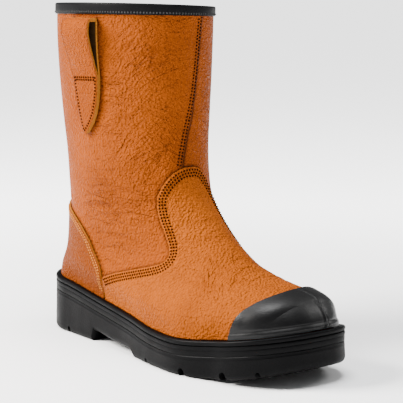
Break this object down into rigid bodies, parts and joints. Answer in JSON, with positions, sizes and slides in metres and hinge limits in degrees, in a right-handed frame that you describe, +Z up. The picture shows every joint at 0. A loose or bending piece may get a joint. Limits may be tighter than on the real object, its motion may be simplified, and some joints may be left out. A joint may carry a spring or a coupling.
{
  "type": "rigger boot",
  "caption": "Pull-on rigger boot with a tall hollow leather shaft, vamp tongue, heel counter, two pull loops, rubber toe guard and a notched heeled sole",
  "frame": {"origin": "Middle of the sole's length and width, on the floor plane under the tread", "axes": "+X to the toe, +Y to the inner side of the foot, +Z up the shaft"},
  "size_m": [0.311, 0.1362, 0.2848],
  "materials": {
    "tan_leather": "matte",
    "vamp_leather": "satin",
    "black_rubber": "satin",
    "cap_rubber": "satin",
    "black_trim": "satin",
    "insole_board": "matte"
  },
  "bodies": {
    "root": {"outsole": "black_rubber", "midsole": "black_rubber", "insole": "insole_board", "upper": "tan_leather", "vamp": "vamp_leather", "heel_counter": "tan_leather", "toe_cap": "cap_rubber", "collar_binding": "black_trim", "pull_loop_outer": "tan_leather", "pull_loop_inner": "tan_leather"}
  },
  "joints": []
}
